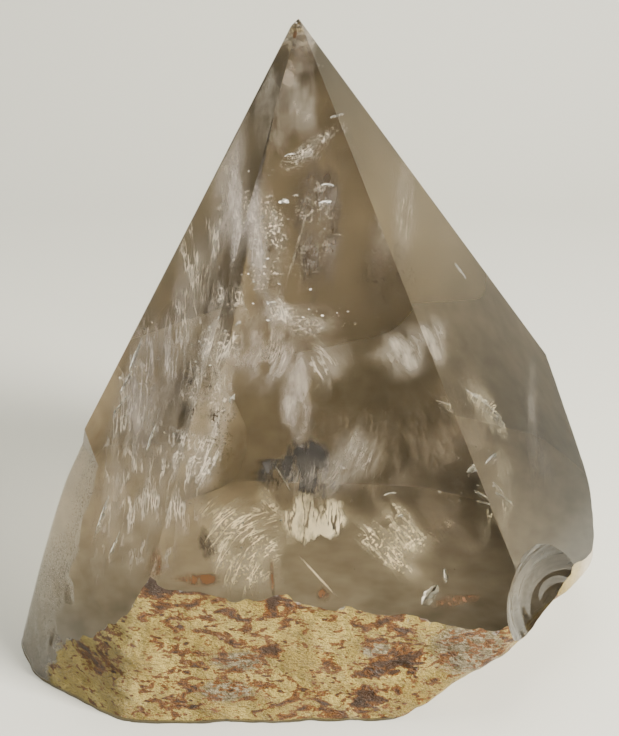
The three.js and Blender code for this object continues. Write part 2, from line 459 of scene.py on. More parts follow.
def ball(columns, rows):
    """A unit sphere: rings of columns points at even steps of the angle from its upper pole."""
    around = np.radians(np.linspace(0, 360, columns, endpoint=False))
    down = np.radians(np.linspace(0, 180, rows + 1))[1:-1]
    turn, drop = np.meshgrid(around, down)
    rings = np.stack([np.sin(drop) * np.cos(turn), np.sin(drop) * np.sin(turn), np.cos(drop)], -1)
    points = np.vstack([rings.reshape(-1, 3), [[0, 0, 1], [0, 0, -1]]])
    row, column = np.meshgrid(np.arange(rows - 2), np.arange(columns), indexing="ij")
    here = row * columns + column
    beside = row * columns + (column + 1) % columns
    quads = np.stack([here, here + columns, beside + columns, beside], axis=-1)
    ring = np.arange(columns)
    after = (ring + 1) % columns
    last = (rows - 2) * columns
    upper = np.column_stack([ring, after, np.full(columns, len(points) - 2)])
    lower = np.column_stack([last + after, last + ring, np.full(columns, len(points) - 1)])
    return points, quads.reshape(-1, 4).tolist() + upper.tolist() + lower.tolist()


def scar_bowl(azimuth, reach, along, height, radii, pitch, depth, blow):
    """A ball whose radius ripples as a cosine of the distance from the blow, stretched to its
    three radii and set so that only its innermost side reaches the crystal."""
    points, faces = ball(BOWL_COLUMNS, BOWL_ROWS)
    towards = np.array(blow, float) / np.linalg.norm(blow)
    mean = sum(radii) / 3
    from_blow = mean * np.arccos(np.clip(points @ towards, -1, 1))
    ripple = depth * np.cos(2 * np.pi * from_blow / pitch)
    points = points * (1 + ripple / mean)[:, None] * np.array(radii)
    points = turn_z(points + [along, -reach - radii[1], height], azimuth)
    return new_object("bowl", points, faces)


for scar, kind in zip(SCARS, SCAR_KINDS):
    bowl = scar_bowl(**scar)
    mark(bowl, kind)
    cut_away(crystal, bowl)
print("after the scars:", len(crystal.data.polygons), "faces")

# %% [markdown]
# ## Cracks inside
#
# A crack in quartz is a gap of air, far thinner than a hair. Where a line of sight meets it
# head on, the gap is nearly invisible. Where it meets it at more than about forty degrees,
# all the light is turned back and the crack shines like silver. So the cracks are really cut
# here, as thin bowed gaps inside the stone, and the light does the rest. A white patch painted
# on a sheet would look the same from every side, which a crack never does. Their crumple
# decides whether they shine as one patch or break up into a net of sparks.

# %% A crumpled sheet
SHEET_CELL = 0.24


def axes_of(azimuth, rise, spin):
    """Across, up and outward directions of a sheet that faces that azimuth and rise."""
    az, up, turn = (math.radians(v) for v in (azimuth, rise, spin))
    out = np.array([math.sin(az) * math.cos(up), -math.cos(az) * math.cos(up), math.sin(up)])
    level = np.array([math.cos(az), math.sin(az), 0.0])
    upward = np.cross(out, level)
    across = math.cos(turn) * level + math.sin(turn) * upward
    return across, np.cross(out, across), out


def ragged(turn, seed, depth):
    """An outline factor round a full turn: 1 plus seven sines with seeded phases, the quick ones
    shallow."""
    draw = np.random.default_rng(seed)
    total = np.ones_like(turn)
    for count in (2, 3, 5, 8, 13, 21, 34):
        total = total + depth * np.sin(count * turn + draw.uniform(0, 2 * np.pi)) / count**0.6
    return total


def sheet(at, azimuth, rise, spin, half, bow=0.15, ripple=0.01, pitch=1.6, crumple=0.012, grain=0.7,
          ragged_by=0.13, cell=SHEET_CELL, seed=1):
    """Points of a ragged round sheet: a square grid (u, v) is pulled onto a disc, as u times the
    root of 1 - v squared / 2, and stretched to its half sizes. It bows by the square of r, and
    carries uneven arcs round a point on its rim and a fine crumple. Also gives r from 0 to 1,
    the place on the sheet in mm and the way that it faces."""
    across, upward, out = axes_of(azimuth, rise, spin)
    counts = [max(9, int(2 * side / cell)) for side in half]
    u, v = np.meshgrid(np.linspace(-1, 1, counts[0]), np.linspace(-1, 1, counts[1]))
    x, y = u * np.sqrt(1 - v * v / 2), v * np.sqrt(1 - u * u / 2)
    r = np.clip(np.hypot(x, y), 0, 1)
    edge = 1 - (1 - ragged(np.arctan2(y, x), seed, ragged_by)) * r
    a, b = x * edge * half[0], y * edge * half[1]
    from_blow, round_blow = np.hypot(a + half[0], b), np.arctan2(b, a + half[0])
    arcs = soft_noise(np.stack([from_blow / pitch, 3 * round_blow, 0 * a], axis=-1), 1, seed)
    fine = soft_noise(np.stack([a, b, 0 * a], axis=-1), grain, seed + 50)
    sag = -bow * r * r + ripple * (2 * arcs - 1) + crumple * (2 * fine - 1)
    points = np.array(at) + a[..., None] * across + b[..., None] * upward + sag[..., None] * out
    return points, r, np.stack([a, b], axis=-1), out


print("a crack's sheet has cells", SHEET_CELL, "mm wide")

# %% Cracks as thin closed gaps
CRACK_GAP = 0.03
CRACK = 3.0

# at: centre in mm, azimuth and rise of the way it faces in degrees, spin about that in degrees,
# half: half its width and height in mm, then the bow, ripples, their pitch and the crumple in mm
CRACKS = [
    # a thin arc in the low fracture, where a dark sheet paints its dark reflection
    dict(at=(-2.9, -20, 32.4), azimuth=-4, rise=72, spin=118, half=(3.2, 0.14), bow=0.5, seed=30),
    # glints in the column below the tip
    dict(at=(-2.5, -5.2, 72.4), azimuth=-4, rise=72, spin=10, half=(0.9, 0.7), crumple=0.05, seed=40),
    dict(at=(4, -5.6, 72.4), azimuth=4, rise=72, spin=6, half=(1, 0.7), crumple=0.05, seed=41),
    dict(at=(4.3, -5, 75), azimuth=4, rise=71, spin=-8, half=(1.1, 0.45), crumple=0.05, seed=42),
    dict(at=(-0.6, -5.4, 73.4), azimuth=0, rise=72, spin=20, half=(0.5, 0.3), crumple=0.04, seed=43),
    dict(at=(-4, -7, 63), azimuth=-4, rise=72, spin=0, half=(0.3, 0.3), seed=44),
    dict(at=(-1.6, -4, 79.6), azimuth=-4, rise=71, spin=30, half=(0.9, 0.35), crumple=0.04, seed=45),
    dict(at=(5.4, -2.6, 85.4), azimuth=10, rise=71, spin=24, half=(0.8, 0.3), crumple=0.04, seed=46),
    dict(at=(5.8, -6.6, 67.4), azimuth=6, rise=72, spin=-4, half=(0.7, 0.2), seed=47),
    dict(at=(-4.6, -9.4, 57), azimuth=-4, rise=71, spin=40, half=(0.7, 0.5), crumple=0.05, seed=48),
    dict(at=(-3, -9.8, 55.6), azimuth=-2, rise=72, spin=60, half=(0.8, 0.3), crumple=0.05, seed=49),
    dict(at=(-9.6, -13, 55), azimuth=-8, rise=71, spin=70, half=(0.8, 0.35), crumple=0.05, seed=50),
    dict(at=(-10.6, -16, 43.6), azimuth=-8, rise=71, spin=80, half=(1.1, 0.4), crumple=0.05, seed=51),
    # feathered fractures behind the right facet
    dict(at=(27.2, -10, 38.6), azimuth=30, rise=68, spin=128, half=(4.6, 1.5), bow=0.8, ripple=0.09,
         pitch=0.9, crumple=0.03, ragged_by=0.25, seed=12),
    dict(at=(27.6, -17.4, 32.6), azimuth=26, rise=71, spin=20, half=(2.2, 0.7), crumple=0.03, seed=13),
    dict(at=(29.8, -21.3, 27.7), azimuth=24, rise=69, spin=140, half=(2.6, 0.5), crumple=0.03, seed=14),
    dict(at=(28.6, -20.6, 29), azimuth=24, rise=69, spin=125, half=(1.6, 0.5), crumple=0.03, seed=24),
    dict(at=(24.4, 5.1, 57), azimuth=22, rise=70, spin=116, half=(2.4, 0.4), seed=15),
    # upright flecks behind the left facet
    dict(at=(-25, -4, 45.4), azimuth=-20, rise=68, spin=82, half=(3.6, 0.4), crumple=0.05, seed=16),
    dict(at=(-26.3, -5.4, 41.5), azimuth=-18, rise=68, spin=70, half=(2.4, 0.5), crumple=0.05, seed=25),
    dict(at=(-27.3, -7.4, 38.1), azimuth=-17, rise=69, spin=60, half=(3, 0.5), crumple=0.05, seed=17),
    dict(at=(-21, -15.2, 35.2), azimuth=-14, rise=68, spin=80, half=(3.4, 0.35), crumple=0.05, seed=18),
    dict(at=(-29.6, -16.2, 21.6), azimuth=-16, rise=69, spin=80, half=(5, 0.45), crumple=0.05, seed=19),
    dict(at=(-26.6, -20.6, 19), azimuth=-16, rise=69, spin=76, half=(3, 0.35), crumple=0.05, seed=26),
    # the bright end of the slanting veil, and flecks beside it
    dict(at=(20, -29.4, 16.4), azimuth=4, rise=72, spin=60, half=(2.2, 1.1), crumple=0.03, seed=20),
    dict(at=(22.4, -28.6, 19.4), azimuth=6, rise=72, spin=84, half=(1.6, 0.3), crumple=0.02, seed=31),
    dict(at=(14, -21.1, 29.7), azimuth=6, rise=72, spin=10, half=(1, 0.35), crumple=0.03, seed=32),
    dict(at=(15.6, -22.6, 26.6), azimuth=6, rise=72, spin=70, half=(0.5, 0.4), crumple=0.03, seed=33),
    dict(at=(16.8, -24, 23.6), azimuth=6, rise=72, spin=120, half=(0.9, 0.3), crumple=0.03, seed=34),
]


def crack_gap(**shape):
    """A closed lens between two copies of a sheet: they part by the gap times the root of
    1 - r squared, so that they meet at the rim, where they share their points."""
    middle, r, _, out = sheet(**shape)
    rows, columns = r.shape
    open_by = (CRACK_GAP / 2 * np.sqrt(1 - r**2))[..., None] * out
    inner = np.zeros((rows, columns), bool)
    inner[1:-1, 1:-1] = True
    points = np.vstack([(middle + open_by).reshape(-1, 3), (middle - open_by)[inner]])
    upper = np.arange(rows * columns).reshape(rows, columns)
    lower = upper.copy()
    lower[inner] = rows * columns + np.arange(inner.sum())
    corners = [np.s_[:-1, :-1], np.s_[:-1, 1:], np.s_[1:, 1:], np.s_[1:, :-1]]
    top = np.stack([upper[c] for c in corners], axis=-1).reshape(-1, 4)
    bottom = np.stack([lower[c] for c in reversed(corners)], axis=-1).reshape(-1, 4)
    return new_object("gap", points, top.tolist() + bottom.tolist())


for crack in CRACKS:
    gap = crack_gap(**crack)
    mark(gap, CRACK)
    cut_away(crystal, gap)
print("after the cracks:", len(crystal.data.polygons), "faces")

# %% [markdown]
# ## Sparks
#
# Between the larger cracks lie hundreds of flakes of air, each less than a millimetre across.
# Each one is made as a flat closed lens of sixteen triangles, strewn with seeded random
# numbers. They could be cut out one by one, but a cut with all of them takes hardly longer than
# a cut with one. Only those that happen to face the light shine.

# %% Sparks
SPARK_RIM = 8
SPARK_THICKNESS = 0.08  # of its half width, to either side
SPARK_COVER = 1.2  # clear stone above it, in mm
SPARK_SEED = 77

# at: centre, spread: how far they stray along X, Y, Z, size: the smallest and largest, all in mm
SPARKS = [
    dict(at=(-5.5, -7, 63), spread=(1.6, 3, 6), count=190, size=(0.04, 0.34)),
    dict(at=(2.4, -6, 69), spread=(2.2, 2, 5), count=70, size=(0.05, 0.26)),
    dict(at=(0.7, -10, 54.7), spread=(4, 2, 1.2), count=130, size=(0.04, 0.3)),
    dict(at=(-12.5, -15.5, 50), spread=(1.0, 2, 7), count=130, size=(0.04, 0.3)),
    dict(at=(-15, -21, 38), spread=(3, 3, 5), count=70, size=(0.05, 0.32)),
    dict(at=(-23, -8, 42), spread=(3.5, 4, 8), count=120, size=(0.04, 0.4)),
    dict(at=(12, -22, 25), spread=(5, 3, 4), count=46, size=(0.05, 0.3)),
    dict(at=(-9, -24, 26), spread=(4, 3, 4), count=60, size=(0.05, 0.3)),
    dict(at=(26, -14, 36), spread=(3, 4, 7), count=60, size=(0.06, 0.3)),
]


def facet_planes():
    """Each ground facet's outward direction, and how far it lies from the origin along that."""
    for facet in GROUND_FACETS:
        out = axes_of(facet["azimuth"], facet["lean"], 0)[2]
        yield out, out[2] * TIP_MM + facet["past"]


def depth_below_facets(points):
    """Distance in mm from each point to the nearest ground facet's plane, inside the stone."""
    return np.min([away - points @ out for out, away in facet_planes()], axis=0)


def strewn_sparks():
    """Flat closed lenses: a rim of eight points and a point above and below it, turned towards
    the front and well upwards, at places drawn from a bell curve round each swarm's centre."""
    draw = np.random.default_rng(SPARK_SEED)
    turn = np.arange(SPARK_RIM) * 2 * np.pi / SPARK_RIM
    lens = np.zeros((SPARK_RIM + 2, 3))
    lens[:-2, 0], lens[:-2, 1] = np.cos(turn), np.sin(turn)
    lens[-2:, 2] = SPARK_THICKNESS, -SPARK_THICKNESS
    ring = np.arange(SPARK_RIM)
    after = (ring + 1) % SPARK_RIM
    upper = np.column_stack([ring, after, np.full(SPARK_RIM, SPARK_RIM)])
    lower = np.column_stack([after, ring, np.full(SPARK_RIM, SPARK_RIM + 1)])
    template = np.vstack([upper, lower])
    all_points, all_faces = [], []
    for swarm in SPARKS:
        places = np.array(swarm["at"]) + draw.normal(size=(swarm["count"], 3)) * swarm["spread"]
        places = places[depth_below_facets(places) > SPARK_COVER]
        for place in places:
            axes = axes_of(draw.uniform(-45, 45), draw.uniform(52, 86), draw.uniform(0, 180))
            small, large = swarm["size"]
            wide = small + (large - small) * draw.random() ** 4
            stretched = lens * [wide, wide * draw.uniform(0.3, 0.9), wide]
            all_faces.append(template + len(all_points) * len(lens))
            all_points.append(place + stretched @ np.array(axes))
    return new_object("sparks", np.vstack(all_points), np.vstack(all_faces).tolist())


sparks = strewn_sparks()
mark(sparks, CRACK)
print(len(sparks.data.polygons) // (2 * SPARK_RIM), "sparks")
cut_away(crystal, sparks)
print("after the sparks:", len(crystal.data.polygons), "faces")

# %% [markdown]
# ## Edges, and where the crust lies
#
# Ground facets are flat and meet in crisp edges, while the skin and the scars are smooth between
# their creases. What made each face is still written on it, so each gets its own shading.
# The rusty crust could be painted by hand on an image. It is worked out from the place of each
# point instead: it stops at the ground rim, is thin on the smooth side strip, and turns to dark
# iron or grey dirt round a few named places. The material reads these shares as attributes.

# %% Finish the crystal's mesh
CREASE = 35

crystal.name = "quartz_crystal"
crystal.data.name = "quartz_crystal"
made_by = np.zeros(len(crystal.data.polygons))
crystal.data.attributes["made_by"].data.foreach_get("value", made_by)
crystal.data.set_sharp_from_angle(angle=math.radians(CREASE))
crystal.data.polygons.foreach_set("use_smooth", made_by != GROUND)

points = np.zeros(len(crystal.data.vertices) * 3)
crystal.data.vertices.foreach_get("co", points)
points = points.reshape(-1, 3) / MM
azimuth = np.degrees(np.arctan2(points[:, 0], -points[:, 1]))
height = points[:, 2]
counts = [int(np.sum(made_by == kind)) for kind in (GROUND, SKIN, BREAK)]
print("ground, skin, break:", counts)


# %% Where the crust lies
# Azimuths in degrees and heights in millimetres. A pair is where a share begins and is full.
BEHIND = (60, 75)
RIM = (-0.6, 0.35)  # depth below the facets
RIM_FRAY = 0.5
STRIP_LEFT = (-112, -100)
STRIP_RIGHT = -53
STRIP_SLANT = 0.5  # degrees for each millimetre above its foot
STRIP_FOOT = 8
STRIP_CLEARED = 0.76
WINDOW_HEIGHT = (4, 9)
WINDOW_SIZE = 7
WINDOW_CLEARED = 0.32


def spot(points, at, size):
    """1 in the middle of an ellipse on the front skin and 0 at its rim, as 1 minus the distance
    from its centre in (x, height), each over the half size."""
    away = np.hypot((points[:, 0] - at[0]) / size[0], (points[:, 2] - at[1]) / size[1])
    return np.where(points[:, 1] < -20, np.clip(1 - away, 0, 1), 0)


# It lies all round and underneath, but not at the ground rim in front. It is thin on the smooth
# side strip, and thinner than elsewhere in a few soft windows at the back.
depth = depth_below_facets(points)
behind = smooth_step(*BEHIND, np.abs(azimuth))
rim = smooth_step(*RIM, depth + RIM_FRAY * (soft_noise(points, 1.1, 21) - 0.5))
rim = np.maximum(rim, behind)
strip_end = STRIP_RIGHT + STRIP_SLANT * np.maximum(0, height - STRIP_FOOT)
strip = smooth_step(*STRIP_LEFT, azimuth) * (1 - smooth_step(-3, 3, azimuth - strip_end))
window = smooth_step(0.5, 0.8, soft_noise(points, WINDOW_SIZE, 23))
window = behind * window * smooth_step(*WINDOW_HEIGHT, height)
crust = rim * (1 - STRIP_CLEARED * strip) * (1 - WINDOW_CLEARED * window)
crust = np.where(height < 0.01, 1.0, crust)

# On the underside and at the back the crust is a thin grey film. Its lightness there is painted
# light and shade, set by place: it is palest underneath at the back, at the top of the back skin
# and on the left.
under = np.where(height < 0.01, 1.0, 0.0)
plain = np.maximum(under, behind)
film_light_and_shade = np.where(under > 0, 0.85 * smooth_step(-30, 35, points[:, 1]), 0.4 + 0.3 * height / 30)
film_light_and_shade += np.where(under > 0, 0, 0.22) * (1 - smooth_step(-15, 8, points[:, 0]))

# at (x, height) and half size in mm
IRON_SPOTS = [
    dict(at=(14.5, 9.7), size=(7, 3.2)),
    dict(at=(9.6, 3.5), size=(4.5, 2.2)),
    dict(at=(-15, 22.5), size=(6.5, 1.6)),
    dict(at=(-20.5, 23), size=(3.5, 4)),
    dict(at=(3.6, 19.8), size=(1.6, 1.6)),
    dict(at=(23.6, 18.6), size=(5.5, 1.5)),
    dict(at=(-4, 20), size=(1.2, 3)),
]
GREY_SPOTS = [
    dict(at=(-9, 10.3), size=(6, 2.6)),
    dict(at=(-11, 5.5), size=(6.5, 2.4)),
    dict(at=(26, 12), size=(9, 7)),
    dict(at=(12, 12), size=(4, 2)),
]
iron = np.max([spot(points, **each) for each in IRON_SPOTS], axis=0)
grey = np.max([spot(points, **each) for each in GREY_SPOTS], axis=0)
shares = {"crust": crust, "plain": plain, "film_light_and_shade": film_light_and_shade, "iron": iron, "grey": grey}
for name, values in shares.items():
    layer = crystal.data.attributes.new(name, "FLOAT", "POINT")
    layer.data.foreach_set("value", values)
    print(name, "covers", round(float(np.mean(values > 0.5)), 2), "of the points")

# The finished stone takes the place of the plain solid.
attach(crystal, "root")
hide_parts("quartz_point")

# %% [markdown]
# ## The quartz and its skin
#
# Quartz bends light less than glass with lead in it and more than water: its IOR is 1.544. The
# faint smoke colour is not on the surface. It builds up with the length of the way through the
# stone, so it is a plain absorption in the volume. The natural skin is the same stone with a
# thin crust of iron-rich clay on it, which scatters light instead of letting it through. The
# crust could be a second shell, but a film this thin has no wall to see, so one material goes
# from clear to crusted by its transmission.

# %% Quartz: where on it, and the noises in millimetres
quartz = bpy.data.materials.new("faintly smoky quartz, polished, with iron-stained skin")
quartz.use_nodes = True
tree = quartz.node_tree
tree.nodes.clear()
made = add(tree, "ShaderNodeAttribute", attribute_name="made_by")
is_skin = add(tree, "ShaderNodeMath", {0: made.outputs["Fac"], 1: 0.5}, operation="LESS_THAN")
place = add(tree, "ShaderNodeTexCoord")
object_place = place.outputs["Object"]
in_mm = add(tree, "ShaderNodeVectorMath", {0: object_place, "Scale": 1000.0}, operation="SCALE")
in_mm = in_mm.outputs[0]
# Twice as quick upwards, so that what it feeds lies along the growth ledges.
level = add(tree, "ShaderNodeVectorMath", {0: in_mm, 1: (1.0, 1.0, 2.1)}, operation="MULTIPLY")
level = level.outputs[0]
cloud = add(tree, "ShaderNodeTexNoise", {"Vector": in_mm, "Scale": 0.16, "Detail": 2.0})
grit = add(tree, "ShaderNodeTexNoise", {"Vector": level, "Scale": 1.5, "Detail": 3.0, "Roughness": 0.7})
plain = add(tree, "ShaderNodeAttribute", attribute_name="plain")
print("nodes for place and noise:", len(tree.nodes))

# %% Quartz: the clay of the crust
# Cream clay, yellower in places, and darker where the grit noise is low, in the pits of its bump.
yellow = add(tree, "ShaderNodeMapRange", {"Value": cloud.outputs[0], "From Min": 0.4, "From Max": 0.6})
clay = add(
    tree,
    "ShaderNodeMix",
    {"Factor": yellow.outputs[0], "A": linear("#B09C52"), "B": linear("#8E7A38")},
    data_type="RGBA",
)
pits = add(
    tree,
    "ShaderNodeMapRange",
    {"Value": grit.outputs[0], "From Min": 0.3, "From Max": 0.52, "To Min": 0.7, "To Max": 0.0},
)
clay = add(
    tree,
    "ShaderNodeMix",
    {"Factor": pits.outputs[0], "A": clay.outputs["Result"], "B": linear("#4C3F1E")},
    data_type="RGBA",
)

# Grey patches where the crust is thin and dirt lies in the pits, salted with bare quartz.
grey = add(tree, "ShaderNodeAttribute", attribute_name="grey")
frayed_grey = add(
    tree, "ShaderNodeMath", {0: grit.outputs[0], 1: 1.1, 2: grey.outputs["Fac"]}, operation="MULTIPLY_ADD"
)
greyed = add(
    tree,
    "ShaderNodeMapRange",
    {"Value": frayed_grey.outputs[0], "From Min": 0.75, "From Max": 1.05, "To Max": 0.85},
)
salt = add(tree, "ShaderNodeTexNoise", {"Vector": level, "Scale": 0.9, "Detail": 3.0, "Roughness": 0.8})
salted = add(tree, "ShaderNodeMapRange", {"Value": salt.outputs[0], "From Min": 0.42, "From Max": 0.62})
dirt = add(
    tree,
    "ShaderNodeMix",
    {"Factor": salted.outputs[0], "A": linear("#41372A"), "B": linear("#958C74")},
    data_type="RGBA",
)
clay = add(
    tree,
    "ShaderNodeMix",
    {"Factor": greyed.outputs[0], "A": clay.outputs["Result"], "B": dirt.outputs["Result"]},
    data_type="RGBA",
)

# Underneath and behind, the crust is a thin dull film, a little uneven and darker on the old
# break, and lighter or darker by place as painted light and shade.
film_light_and_shade = add(tree, "ShaderNodeAttribute", attribute_name="film_light_and_shade")
uneven = add(
    tree,
    "ShaderNodeMapRange",
    {"Value": cloud.outputs[0], "From Min": 0.3, "From Max": 0.7, "To Min": -0.2, "To Max": 0.2},
)
uneven = add(tree, "ShaderNodeMath", {0: uneven.outputs[0], 1: film_light_and_shade.outputs["Fac"]}, operation="ADD")
uneven = add(
    tree, "ShaderNodeMath", {0: made.outputs["Fac"], 1: -0.8, 2: uneven.outputs[0]}, operation="MULTIPLY_ADD"
)
film_light_and_shade = add(
    tree,
    "ShaderNodeMix",
    {"Factor": uneven.outputs[0], "A": linear("#665D49"), "B": linear("#BAB2A0")},
    data_type="RGBA",
)
clay = add(
    tree,
    "ShaderNodeMix",
    {"Factor": plain.outputs["Fac"], "A": clay.outputs["Result"], "B": film_light_and_shade.outputs["Result"]},
    data_type="RGBA",
)
print("nodes up to the clay:", len(tree.nodes))

# %% Quartz: rust
# Spots 1 to 5 mm long that lie along the growth ledges, in loose swarms, with darker cores.
iron = add(tree, "ShaderNodeAttribute", attribute_name="iron")
swarm = add(tree, "ShaderNodeTexNoise", {"Vector": in_mm, "Scale": 0.11, "Detail": 1.0})
spots = add(
    tree,
    "ShaderNodeTexNoise",
    {"Vector": level, "Scale": 0.34, "Detail": 4.0, "Roughness": 0.62, "Distortion": 0.35},
)
swarmed = add(
    tree, "ShaderNodeMath", {0: swarm.outputs[0], 1: 0.35, 2: spots.outputs[0]}, operation="MULTIPLY_ADD"
)
specks = add(tree, "ShaderNodeTexNoise", {"Vector": level, "Scale": 0.8, "Detail": 1.0})
specks = add(
    tree, "ShaderNodeMath", {0: swarm.outputs[0], 1: 0.2, 2: specks.outputs[0]}, operation="MULTIPLY_ADD"
)
swarmed = add(tree, "ShaderNodeMath", {0: swarmed.outputs[0], 1: specks.outputs[0]}, operation="MAXIMUM")
ironed = add(
    tree,
    "ShaderNodeMath",
    {0: iron.outputs["Fac"], 1: 0.26, 2: swarmed.outputs[0]},
    operation="MULTIPLY_ADD",
)
rusty = add(
    tree,
    "ShaderNodeMath",
    {0: plain.outputs["Fac"], 1: -0.5, 2: ironed.outputs[0]},
    operation="MULTIPLY_ADD",
)
rust = add(tree, "ShaderNodeMapRange", {"Value": rusty.outputs[0], "From Min": 0.708, "From Max": 0.728})
core = add(tree, "ShaderNodeMapRange", {"Value": rusty.outputs[0], "From Min": 0.738, "From Max": 0.84})
for share, colour in ((rust, "#6E430B"), (core, "#38220B")):
    clay = add(
        tree,
        "ShaderNodeMix",
        {"Factor": share.outputs[0], "A": clay.outputs["Result"], "B": linear(colour)},
        data_type="RGBA",
    )
print("nodes up to the rust:", len(tree.nodes))

# %% Quartz: crust over clear stone
# The crust ends raggedly, and clear stone shows past its edge and in small gaps.
crust = add(tree, "ShaderNodeAttribute", attribute_name="crust")
frayed = add(
    tree,
    "ShaderNodeMath",
    {0: grit.outputs[0], 1: 0.6, 2: crust.outputs["Fac"]},
    operation="MULTIPLY_ADD",
)
covered = add(tree, "ShaderNodeMapRange", {"Value": frayed.outputs[0], "From Min": 0.55, "From Max": 0.95})
crusted = add(tree, "ShaderNodeMath", {0: covered.outputs[0], 1: is_skin.outputs[0]}, operation="MULTIPLY")
tint = add(
    tree,
    "ShaderNodeMix",
    {"Factor": crusted.outputs[0], "A": linear("#FFFFFF"), "B": clay.outputs["Result"]},
    data_type="RGBA",
)
clear = add(tree, "ShaderNodeMath", {0: 1.0, 1: crusted.outputs[0]}, operation="SUBTRACT")
frosted = add(tree, "ShaderNodeMapRange", {"Value": is_skin.outputs[0], "To Min": 0.02, "To Max": 0.1})
gloss = add(
    tree,
    "ShaderNodeMapRange",
    {"Value": crusted.outputs[0], "To Min": frosted.outputs[0], "To Max": 0.42},
)

# Lumps and grit stand out a little, on the skin only.
lumpy = add(
    tree, "ShaderNodeMath", {0: cloud.outputs[0], 1: 3.0, 2: grit.outputs[0]}, operation="MULTIPLY_ADD"
)
raised = add(tree, "ShaderNodeMapRange", {"Value": plain.outputs["Fac"], "To Min": 1.0, "To Max": 0.02})
bare = add(tree, "ShaderNodeMapRange", {"Value": crusted.outputs[0], "To Min": 0.03, "To Max": 1.0})
raised = add(tree, "ShaderNodeMath", {0: raised.outputs[0], 1: bare.outputs[0]}, operation="MULTIPLY")
raised = add(tree, "ShaderNodeMath", {0: raised.outputs[0], 1: is_skin.outputs[0]}, operation="MULTIPLY")
on_skin = add(tree, "ShaderNodeMath", {0: lumpy.outputs[0], 1: raised.outputs[0]}, operation="MULTIPLY")
bump = add(tree, "ShaderNodeBump", {"Strength": 0.9, "Distance": 0.0014, "Height": on_skin.outputs[0]})
stone = add(
    tree,
    "ShaderNodeBsdfPrincipled",
    {
        "Base Color": tint.outputs["Result"],
        "Transmission Weight": clear.outputs[0],
        "Roughness": gloss.outputs[0],
        "IOR": 1.544,
        "Normal": bump.outputs[0],
    },
)
smoke = add(tree, "ShaderNodeVolumeAbsorption", {"Color": linear("#ECE8DE"), "Density": 30.0})
add(tree, "ShaderNodeOutputMaterial", {"Surface": stone.outputs[0], "Volume": smoke.outputs[0]})
crystal.data.materials.clear()
crystal.data.materials.append(quartz)
print("quartz has", len(tree.nodes), "nodes")

# %% [markdown]
# ## Veils
#
# Where a crack healed while the crystal grew, it left a veil: a curved sheet of liquid-filled
# bubbles, each too small to see, that together look like breath on glass. A veil is made here
# as a crumpled sheet that is nearly all see-through. Its alpha follows soft clouds, thin
# curved threads and grains in the sheet's own millimetres, and fades out towards its rim. Most
# are faint, and a few are laid on thickly: for the rusty patches, and for two sheets of painted
# light. The thick pale one paints the shine of the low fracture, and the thick dark one paints
# its dark reflection. A cloud in the volume could do the same, but it would blur the sharp
# threads and take far longer to light.

# %% Veils
MILKY = "#F3EADB"
LILAC = "#DED6D0"
CREAM = "#FBEDC4"
SMOKY = "#3A2B12"
# dark tone of the sheet that paints a fracture's dark reflection
PAINTED_DARK_REFLECTION = "#2A2621"
DUSTY = "#93846A"
RUSTY = "#6B430D"
VEIL_CELL = 0.5
VEIL_COVER = 0.4
VEIL_BOW = 0.14  # of its smaller half size
VEIL_CRUMPLE = dict(crumple=0.35, grain=2.2, ragged_by=0.2)
VEIL_FIRST_SEED = 200
VEIL_APART = 37.0  # from one veil's clouds to the next one's, in the noise

